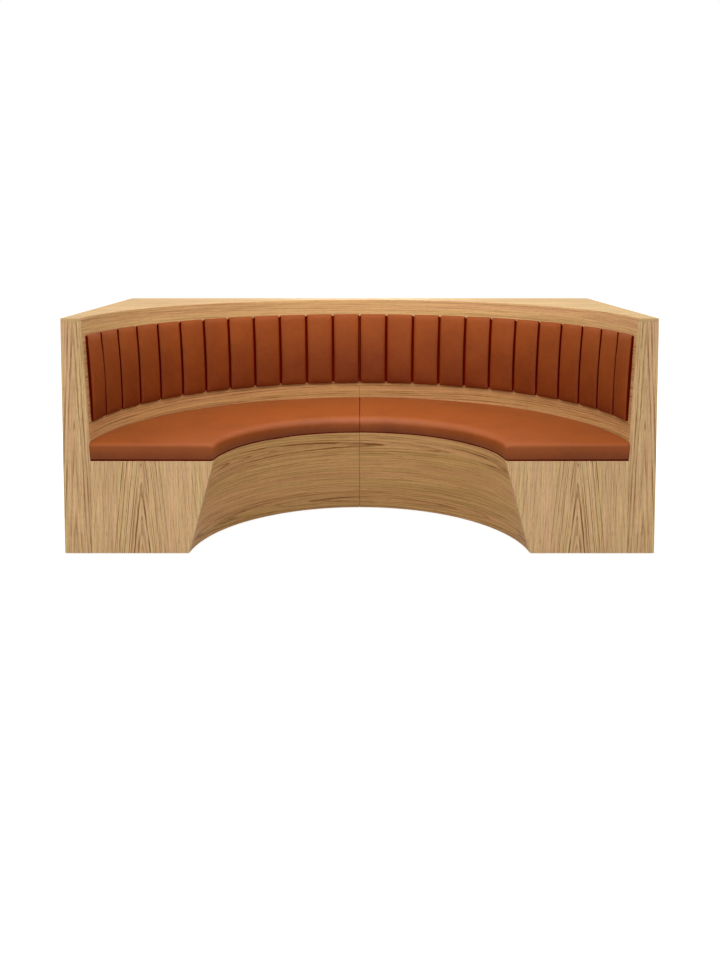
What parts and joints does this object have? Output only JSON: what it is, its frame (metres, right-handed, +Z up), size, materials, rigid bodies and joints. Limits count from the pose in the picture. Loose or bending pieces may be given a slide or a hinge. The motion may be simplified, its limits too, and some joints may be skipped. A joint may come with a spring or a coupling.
{
  "type": "restaurant booth seating",
  "caption": "Half-round restaurant booth: a wooden carcass with a raked, curved back in channelled leather, padded lift-off seats and a slanted plinth round a leg bay.",
  "frame": {"origin": "on the floor, under the middle of the bench's rectangular plan", "axes": "+X to the right seen from the front, +Y to the rear, +Z up"},
  "size_m": [2.4, 1.2, 0.964],
  "materials": {
    "oak_veneer": "satin clear-coated oak veneer",
    "plywood": "bare birch plywood",
    "seat_leather": "smooth semi-matt tan leather",
    "back_leather": "smooth semi-matt tan leather",
    "zinc_steel": "zinc plated",
    "glide_nylon": "moulded nylon"
  },
  "bodies": {
    "carcass": {"side_panel_left": "oak_veneer", "side_panel_right": "oak_veneer", "rear_panel_left": "oak_veneer", "rear_panel_right": "oak_veneer", "front_stile_left": "oak_veneer", "front_stile_right": "oak_veneer", "front_panel_left": "oak_veneer", "front_panel_right": "oak_veneer", "plinth_skin_left": "oak_veneer", "plinth_skin_right": "oak_veneer", "back_skin_left": "oak_veneer", "back_skin_right": "oak_veneer", "base_plate_left": "plywood", "base_plate_right": "plywood", "seat_deck_left": "plywood", "seat_deck_right": "plywood", "base_centre_frame_left": "plywood", "base_centre_frame_right": "plywood", "base_ribs_left": "plywood", "base_ribs_right": "plywood", "back_ribs_left": "plywood", "back_ribs_right": "plywood", "pad_board_left": "plywood", "pad_board_right": "plywood", "top_board": "oak_veneer", "top_band": "oak_veneer", "joining_bolts": "zinc_steel", "floor_glides": "glide_nylon", "back_channel_01": "back_leather", "back_channel_02": "back_leather", "back_channel_03": "back_leather", "back_channel_04": "back_leather", "back_channel_05": "back_leather", "back_channel_06": "back_leather", "back_channel_07": "back_leather", "back_channel_08": "back_leather", "back_channel_09": "back_leather", "back_channel_10": "back_leather", "back_channel_11": "back_leather", "back_channel_12": "back_leather", "back_channel_13": "back_leather", "back_channel_14": "back_leather", "back_channel_15": "back_leather", "back_channel_16": "back_leather", "back_channel_17": "back_leather", "back_channel_18": "back_leather", "back_channel_19": "back_leather", "back_channel_20": "back_leather", "back_channel_21": "back_leather", "back_channel_22": "back_leather", "back_channel_23": "back_leather", "back_channel_24": "back_leather"},
    "seat_left": {"seat_cushion_left": "seat_leather", "seat_board_left": "plywood", "seat_locators_left": "plywood"},
    "seat_right": {"seat_cushion_right": "seat_leather", "seat_board_right": "plywood", "seat_locators_right": "plywood"}
  },
  "joints": [
    {"name": "seat_left_lift", "type": "slide", "parent": "carcass", "child": "seat_left", "axis": [0, 0, 1], "range_m": [0, 0.07]},
    {"name": "seat_right_lift", "type": "slide", "parent": "carcass", "child": "seat_right", "axis": [0, 0, 1], "range_m": [0, 0.07]}
  ]
}
